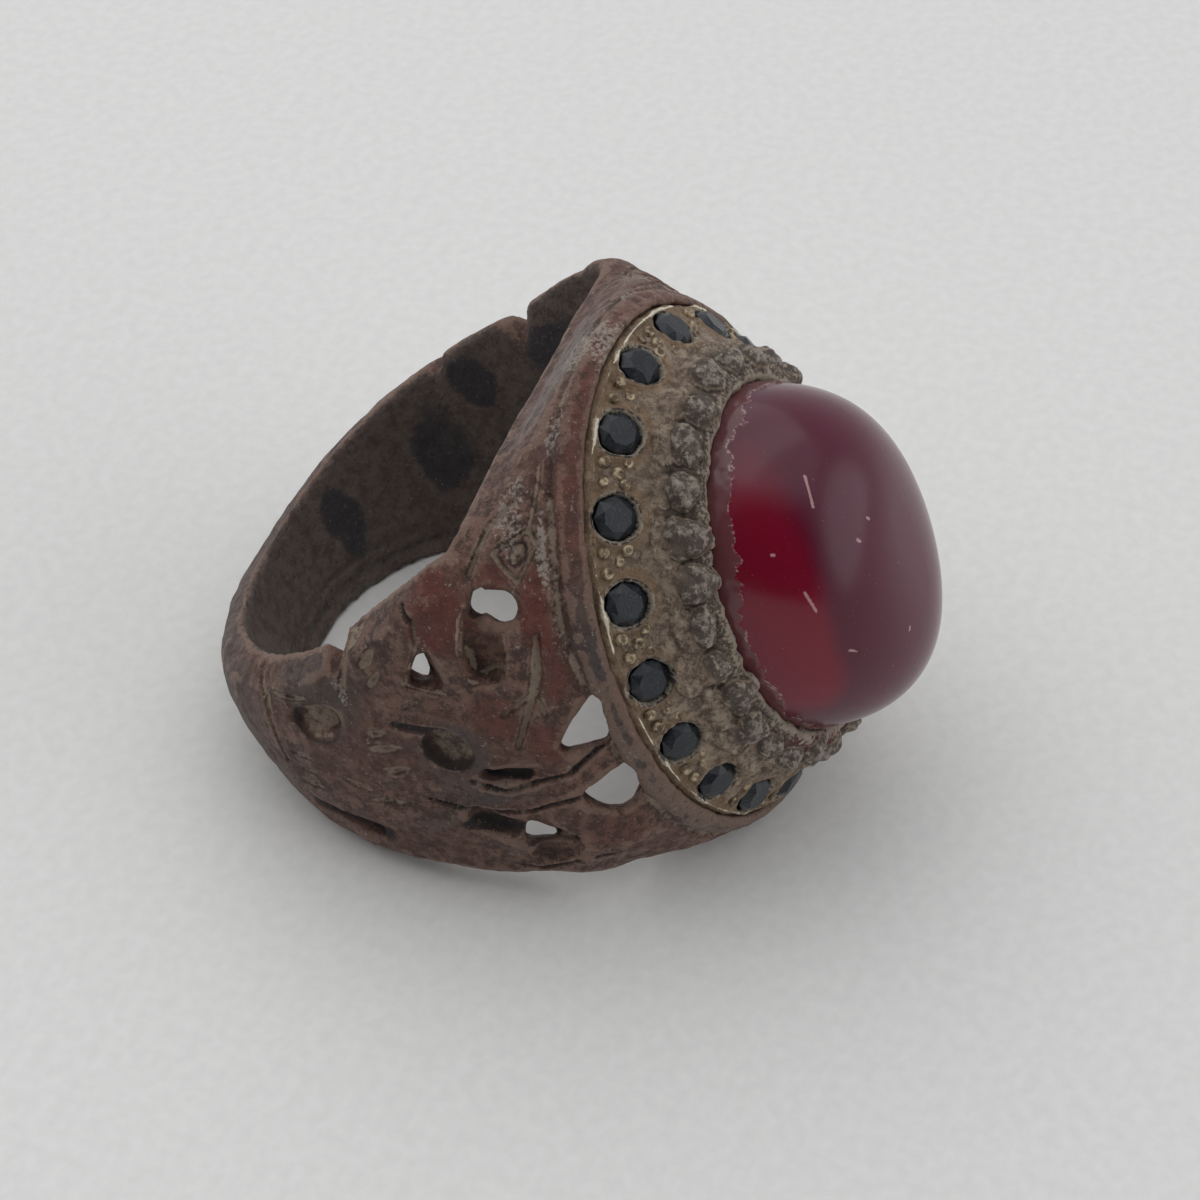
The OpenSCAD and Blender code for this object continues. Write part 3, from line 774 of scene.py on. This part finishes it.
class RING_OT_setting(bpy.types.Operator):
    """Makes the plate: a profile carried round an oval, from the rim up to the
    claws' tips and down into the stone's well, with claws, stone seats, a gilt
    lip and packed crust raised and sunk along its normals"""
    bl_idname = "ring.setting"
    bl_label = "Setting"

    def execute(self, context):
        sizes = context.scene.ring_setting
        reach, height = self.profile().T
        a = WELL_A + reach
        co = oval_rows(a, a + OVAL_EXTRA, height, PLATE_COLUMNS)
        faces = grid_faces(len(reach), PLATE_COLUMNS, closed_rows=True)
        normal = point_normals(co, faces)
        shown = np.repeat(np.arange(len(reach)) < PLATE_ROWS, PLATE_COLUMNS)
        z = co[:, 2]
        fine_noise = noise(co, size=0.4, seed=33)
        lumps = noise(co, size=0.75, seed=34)
        cloud = noise(co, size=1.6, seed=31)
        claw = self.claws(co, lumps) * shown
        # Packed crust buries the claws' feet, and here and there a whole claw
        buried = smooth(-0.35, 0.35, (CLAW_FOOT + 0.45 - z) / 0.9 + 0.9 * cloud) * shown
        lift = sizes.claw_height * 1000 * claw * (1 - 0.3 * buried)
        gap = smooth(0.45, 0.0, claw) * smooth(CLAW_FOOT - 0.05, CLAW_FOOT + 0.4, z) * shown
        lift += (0.3 + 0.25 * lumps) * gap * (0.35 + 0.65 * buried)
        # Seats of the accent stones, with a low raised lip
        near = self.from_stone(co)
        near_ragged = near + 0.07 * fine_noise
        seat = 0.1 * bell(near_ragged, 1.02, 0.13) - 0.5 * smooth(0.9, 0.74, near_ragged)
        lift += seat * shown
        # Uneven ridge of crust over the row of stones
        ridge = bell(z, 12.8, 0.34) * smooth(0.8, 1.2, near)
        lift += 0.2 * ridge * (0.7 + cloud) * shown
        # Lip of the seam, gilt and broken, just inside the rim
        lip = bell(np.repeat(reach, PLATE_COLUMNS), 3.19, 0.055) * (z > 11.15) * shown
        whole = smooth(0.35, -0.05, noise(co, size=1.3, seed=36))
        whole *= 0.55 + 0.45 * smooth(-6, 2, co[:, 1])
        # Roughness of the crust, stronger above the stones
        grain = noise(co, size=0.8, seed=32) + (0.8 + 1.2 * smooth(12.5, 13.2, z)) * fine_noise
        lift += sizes.crust * 1000 * grain * shown * (1 - 0.6 * lip)
        # The part that stands inside the body stays as it is
        lift *= smooth(10.7, RIM_H, z)
        lift -= 0.1 * lip * (1 - whole)
        co = co + normal * lift[:, None]
        piece = add_object("setting_plate", co, [faces], finish_material(
            "gilt brass under dirt", BRASS_PATTERNS, "#68564a", BRASS_COATS,
            ["mottle", 0.3, 0.7, 0.75, 0.45], ["mottle", 1.8, "speck", 0.8, 0.13],
            Metallic=0.1), ("setting",))
        bulge = bulge_of(co, faces, normal)
        near_tip = smooth(CLAW_TIP - 0.5, CLAW_TIP - 0.1, z)
        # The red stone's foot shows in the claws' gaps, most at the lower end
        low_end = smooth(-2.0, -8.0, co[:, 1])
        add_layers(
            # The claw layer also sets the painted highlight on the claws' crowns
            piece, claw=smooth(0.2, 0.6, claw) * (1 - 0.85 * buried),
            # Painted highlight on the bulges and in the gaps by the claws' tips, over worn metal
            edge=smooth(0.008, 0.045, bulge) + 0.5 * gap * near_tip,
            # Painted shade in the gaps between the claws and in the plate's hollows
            dark=0.65 * gap * (1 - 0.9 * buried) + 0.6 * smooth(0.01, 0.05, -bulge),
            halo=smooth(1.06, 0.92, near_ragged + 0.08 * cloud),
            gold=smooth(1.75, 1.1, near) + smooth(11.95, 11.4, z),
            red=gap * (0.35 * smooth(CLAW_TIP - 0.8, CLAW_TIP - 0.2, z) + 0.6 * low_end),
            gilt=smooth(0.55, 0.95, lip) * whole)
        return {"FINISHED"}

    def profile(self):
        """Rows of the plate as [distance out, height]: its top evenly spaced and
        rounded over by two rounds of averaging, then the well as it is."""
        run = length_along(PLATE_TOP)
        v = np.linspace(0, run[-1], PLATE_ROWS)
        top = np.stack([np.interp(v, run, PLATE_TOP[:, k]) for k in range(2)], 1)
        for step in range(2):
            top[1:-1] = (top[:-2] + 2 * top[1:-1] + top[2:]) / 4
        return np.concatenate([top, PLATE_WELL])

    def claws(self, co, lumps):
        """How far a claw stands out at each point, from 0 to 1. Each claw has an
        equal length of oval, and is a long bead over a smaller one. No two are
        alike: own holds six random numbers for the claw at each point."""
        turn, run = oval_run(WELL_A + 0.78)
        t = np.arange(PLATE_COLUMNS) / PLATE_COLUMNS * 2 * np.pi
        place = np.interp(t, turn, run / run[-1] * CLAWS)
        place = np.tile(place, len(co) // PLATE_COLUMNS) + 0.12 * lumps
        index = np.floor(place).astype(int) % CLAWS
        own = np.random.default_rng(21).uniform(-1, 1, (CLAWS, 6))[index]
        across = ((place % 1) - 0.5 - 0.07 * own[:, 0]) * 2 / (0.92 + 0.1 * own[:, 3])
        up = co[:, 2] + 0.16 * noise(co, size=0.6, seed=35)
        tip, foot = CLAW_TIP + 0.18 * own[:, 1], CLAW_FOOT + 0.3 * own[:, 2]
        neck = foot + (tip - foot) * (0.36 + 0.14 * own[:, 4])
        head_up = (2 * up - tip - neck + 0.2) / (tip - neck + 0.2)
        foot_up = (2 * up - neck - foot) / (neck - foot + 0.4)
        head = np.clip(1 - np.abs(across) ** 2.4 - np.abs(head_up) ** 2.4, 0, 1) ** 0.55
        heel = np.clip(1 - across ** 2 - foot_up ** 2, 0, 1) ** 0.5 * (0.62 + 0.25 * own[:, 5])
        return np.maximum(head, heel)

    def from_stone(self, co):
        """Distance from each point to the nearest accent stone's axis."""
        angles = oval_angles(ACCENT_A, ACCENTS)
        p, leaned, side, _ = oval_frame(ACCENT_A, angles, ACCENT_H, ACCENT_LEAN)
        near = np.full(len(co), np.inf)
        for k in range(ACCENTS):
            away = co - p[k]
            near = np.minimum(near, np.hypot(away @ leaned[k], away @ side[k]))
        return near


class RING_OT_beads(bpy.types.Operator):
    """Makes the small beads between the accent stones: rings with a round
    section whose middle is filled, on the plate's slope"""
    bl_idname = "ring.beads"
    bl_label = "Small beads"

    def execute(self, context):
        radius = context.scene.ring_setting.bead * 1000
        rng = np.random.default_rng(41)
        angles = oval_angles(ACCENT_A, ACCENTS)
        gaps = (angles + np.roll(angles, -1)) / 2
        gaps[-1] += np.pi
        # Five beads to a gap, as [along the oval, up the slope] in mm. Some are lost
        cluster = [[-0.02, 0.05], [-0.42, 0.42], [0.42, 0.4], [-0.36, -0.5], [0.36, -0.48]]
        lost = 0.12
        # Section from the foot over the crest to the dimple in the bead's middle,
        # as [distance out, height] for a radius of 1
        section = np.array([
            [1.1, -0.6], [1.12, 0.2], [0.95, 0.75], [0.6, 0.85], [0.3, 0.55], [0, 0.48]])
        rows, columns = len(section), 12
        local = oval_rows(section[:, 0], section[:, 0], section[:, 1], columns)
        points, faces = [], []
        p, leaned, side, raised = oval_frame(ACCENT_A, gaps, ACCENT_H, ACCENT_LEAN)
        for k in range(ACCENTS):
            for spot in cluster:
                if rng.random() < lost:
                    continue
                along, up = spot + rng.uniform(-0.07, 0.07, 2)
                size = radius * rng.uniform(0.8, 1.15)
                centre = p[k] + side[k] * along - leaned[k] * up - raised[k] * 0.1
                axes = np.stack([leaned[k], side[k], raised[k]])
                faces.append(grid_faces(rows, columns, first=len(points) * rows * columns))
                points.append(centre + size * local @ axes)
        co, quads = np.concatenate(points), np.concatenate(faces)
        add_object("small_beads", co, [quads], finish_material(
            "worn gilt beads", BEAD_PATTERNS, "#5d4d3e", BEAD_COATS,
            ["mottle", 0.3, 0.7, 0.55, 0.35], ["mottle", 1, "speck", 0.3, 0.04],
            Metallic=0.5))
        return {"FINISHED"}


# Hairline scratches and specks on the main stone, in the ring frame in mm:
# [x, y, h of one end, x, y, h of the other, half width]
SCRATCHES = np.array([
    [-2.13, 5.68, 17.94, -2.86, 4.82, 18.18, 0.045],
    [-4.81, 2.34, 17.55, -4.9, 1.49, 17.72, 0.042],
    [-4.52, 4.05, 16.74, -4.5, 4.0, 16.8, 0.05],
    [-2.55, 2.81, 19.19, -2.5, 2.7, 19.2, 0.055],
    [-1.66, 3.1, 19.4, -1.6, 3.0, 19.42, 0.04],
    [-2.01, -2.21, 19.44, -2.1, -2.3, 19.43, 0.042],
    [-4.62, -0.84, 18.19, -4.4, -1.1, 18.3, 0.042],
    [2.6, 1.2, 19.2, 3.4, 0.4, 18.9, 0.042],
    [4.4, 3.2, 17.6, 4.2, 4.1, 17.2, 0.042],
    [1.2, -5.2, 18.2, 1.9, -5.4, 17.8, 0.042],
])


class RING_OT_main_stone(bpy.types.Operator):
    """Makes the cabochon: ovals over a low straight girdle. From the girdle to
    the top, the half width is its full value times the cosine of an angle, and
    the height the dome's times its sine, each to the power 0.73"""
    bl_idname = "ring.main_stone"
    bl_label = "Main stone"

    def execute(self, context):
        sizes = context.scene.ring_stones
        a, dome = sizes.half_width * 1000, sizes.dome * 1000
        foot, girdle, power = 11.25, RIM_H + 1.65, 2 / 2.74
        # Rows lie closer together towards the top, which is left to a cap
        t = np.pi / 2 * (1 - (1 - np.linspace(0, 1, 208)) ** 1.15)[:-1]
        half = np.concatenate([[0.4, a - 0.3, a], a * np.cos(t) ** power])
        height = np.concatenate([[foot, foot, foot + 0.35], girdle + dome * np.sin(t) ** power])
        columns = 448
        co = oval_rows(half, half + OVAL_EXTRA * np.minimum(half / 0.9, 1), height, columns)
        top, bottom = len(co), len(co) + 1
        co = np.concatenate([co, [[0, 0, girdle + dome], [0, 0, foot]]])
        quads = grid_faces(len(half), columns)
        c = np.arange(columns)
        last = (len(half) - 1) * columns
        caps = np.concatenate([
            np.stack([last + c, last + (c + 1) % columns, np.full(columns, top)], 1),
            np.stack([(c + 1) % columns, c, np.full(columns, bottom)], 1),
        ])
        normal = point_normals(co, quads)
        # Crust creeps up from the claws with a ragged edge, highest at the upper end
        edge = 14.95 + 0.45 * smooth(-4, 6, co[:, 1])
        edge += 0.5 * noise(co, size=1.1, seed=51, octaves=2)
        edge += 0.35 * noise(co, size=0.3, seed=52, octaves=2)
        crust = smooth(0.06, -0.06, co[:, 2] - edge) * smooth(13, 13.6, co[:, 2])
        lift = crust * (0.025 + 0.03 * noise(co, size=0.3, seed=53, octaves=2))
        co = co + normal * lift[:, None]
        scratch = np.zeros(len(co))
        for row in SCRATCHES:
            away = segment_distance(co, row[:3], row[3:6])[0] - 0.015
            scratch = np.maximum(scratch, smooth(1.3, 0.5, away / row[6]))
        piece = add_object("cabochon", co, [quads, caps], finish_material(
            "cloudy red glass", STONE_PATTERNS, "#520526", STONE_COATS,
            ["cloud", 0.3, 0.7, 0.16, 0.24], ["cloud", 0.05, "mottle", 0.05, 0.05],
            IOR=1.47, Subsurface_Weight=0.35, Subsurface_Radius=(1.0, 0.1, 0.12),
            Subsurface_Scale=0.0025), ("main_stone",))
        # Painted light: the side that light passes into is painted a glowing red
        glow = smooth(1.25, 0.6, np.hypot((co[:, 1] - 1.6) / 5.6, (co[:, 2] - 15.8) / 2.6))
        add_layers(
            piece, glow=glow * smooth(0.5, -2, co[:, 0]), crust=crust,
            line=bell(co[:, 2], edge, 0.07), scratch=scratch)
        return {"FINISHED"}


class RING_OT_accent_stones(bpy.types.Operator):
    """Gives the CAD accent stones their glass, with flat facets"""
    bl_idname = "ring.accent_stones"
    bl_label = "Accent stones"

    def execute(self, context):
        glass = finish_material(
            "near-black faceted glass", DARK_PATTERNS, "#12161d", DARK_COATS,
            ["mottle", 0.3, 0.7, 0.18, 0.5], ["mottle", 0.6, "speck", 0.3, 0.03], IOR=1.47)
        for k in range(1, ACCENTS + 1):
            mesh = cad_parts[f"accent_stone_{k}"].data
            mesh.materials.clear()
            mesh.materials.append(glass)
            mesh.polygons.foreach_set("use_smooth", np.zeros(len(mesh.polygons), bool))
        return {"FINISHED"}


# Soft patches of the room: [direction x, y, z, cosine at the patch's edge, cosine
# where it is full, change in the room's brightness]
ROOM = [
    [0, 0, 1, 0.72, 0.93, 0.55],
    [-0.93, -0.12, 0.33, 0.55, 0.86, -0.88],
    [0.12, -0.95, 0.28, 0.8, 0.95, 1.2],
]


# The camera, in the ring frame in mm: its place, and its axes to the right, down
# and forward
CAMERA_AT = [-71.09, 61.14, 60.57]
CAMERA_AXES = [
    [0.33706, -0.37967, 0.86153],
    [-0.68391, -0.72764, -0.05309],
    [0.64704, -0.57131, -0.50492],
]

# In metres: half the card's side, and the large light's sides and place
CARD_HALF = 1.5
LIGHT_SIDES = (0.8, 0.7)
LIGHT_AT = (0.17, 0.30, 0.46)


class RING_OT_stage(bpy.types.Operator):
    """Sets the white card, the soft light from above and the camera"""
    bl_idname = "ring.stage"
    bl_label = "Stage"

    def execute(self, context):
        sizes = context.scene.ring_stage
        scene = context.scene
        scene.view_settings.view_transform = "Standard"
        mesh = bpy.data.meshes.new("card")
        r = CARD_HALF
        mesh.from_pydata([(-r, -r, 0), (r, -r, 0), (r, r, 0), (-r, r, 0)], [], [(0, 1, 2, 3)])
        mesh.materials.append(finish_material(
            "matt white card", CARD_PATTERNS, "#e4e3e0", CARD_COATS,
            ["tooth", 0, 1, 0.9, 0.9], ["tooth", 1, "speck", 0.3, 0.01],
            Specular_IOR_Level=0.2))
        linked("card", mesh)
        camera = linked("camera", bpy.data.cameras.new("camera"))
        camera.data.lens = sizes.lens
        camera.data.sensor_width = 36
        camera.data.clip_start, camera.data.clip_end = 0.01, 10
        right, down, forward = (LAY @ axis for axis in CAMERA_AXES)
        turn = Matrix(np.stack([right, -down, -forward], 1).tolist()).to_4x4()
        turn.translation = to_row(CAMERA_AT)
        camera.matrix_world = turn
        scene.camera = camera
        light = bpy.data.lights.new("window", "AREA")
        light.shape = "RECTANGLE"
        light.size, light.size_y = LIGHT_SIDES
        light.energy = sizes.key
        light.color = (1.0, 0.985, 0.96)
        lamp = linked("window", light)
        lamp.location = LIGHT_AT
        lamp.rotation_mode = "QUATERNION"
        lamp.rotation_quaternion = (-lamp.location).to_track_quat("-Z", "Y")
        world = bpy.data.worlds.new("room")
        scene.world = world
        world.use_nodes = True
        tree = world.node_tree
        where = node(tree, "ShaderNodeTexCoord", (-1200, 0))
        bright = 1.0
        for k, row in enumerate(ROOM):
            toward = node(tree, "ShaderNodeVectorMath", (-1000, -250 * k), {
                0: where.outputs["Generated"], 1: Vector(row[:3]).normalized(),
            }, operation="DOT_PRODUCT")
            patch = node(tree, "ShaderNodeMapRange", (-750, -250 * k), {
                "Value": toward.outputs["Value"], "From Min": row[3], "From Max": row[4],
                "To Min": 0, "To Max": row[5],
            }, interpolation_type="SMOOTHSTEP")
            bright = node(tree, "ShaderNodeMath", (-500, -250 * k), {
                0: patch.outputs[0], 1: bright}).outputs[0]
        strength = node(tree, "ShaderNodeMath", (-250, 0), {
            0: bright, 1: sizes.sky}, operation="MULTIPLY")
        back = tree.nodes["Background"]
        back.inputs["Color"].default_value = (0.95, 0.97, 1.0, 1)
        tree.links.new(strength.outputs[0], back.inputs["Strength"])
        return {"FINISHED"}


class RING_PT_panel(bpy.types.Panel):
    """Lists the ring's steps in the sidebar"""
    bl_idname = "RING_PT_panel"
    bl_label = "Oval cabochon ring"
    bl_space_type = "VIEW_3D"
    bl_region_type = "UI"
    bl_category = "Ring"

    def draw(self, context):
        for group, names in PANEL_ROWS.items():
            box = self.layout.box()
            for name in names:
                box.prop(getattr(context.scene, group), name)
        for step in STEPS:
            self.layout.operator(step.bl_idname)


GROUPS = {
    "ring_body": RingBodySizes,
    "ring_setting": SettingSizes,
    "ring_stones": StoneSizes,
    "ring_stage": StageSizes,
}
PANEL_ROWS = {name: list(group.__annotations__) for name, group in GROUPS.items()}
STEPS = [
    RING_OT_stage, RING_OT_body, RING_OT_setting, RING_OT_beads,
    RING_OT_main_stone, RING_OT_accent_stones,
]
CLASSES = [*GROUPS.values(), *STEPS, RING_PT_panel]


def register():
    for made in CLASSES:
        bpy.utils.register_class(made)
    for name, group in GROUPS.items():
        setattr(bpy.types.Scene, name, PointerProperty(type=group))


def unregister():
    for name in GROUPS:
        delattr(bpy.types.Scene, name)
    for made in reversed(CLASSES):
        bpy.utils.unregister_class(made)


def main():
    register()
    for step in STEPS:
        group, name = step.bl_idname.split(".")
        getattr(getattr(bpy.ops, group), name)()


if __name__ == "__main__":
    main()
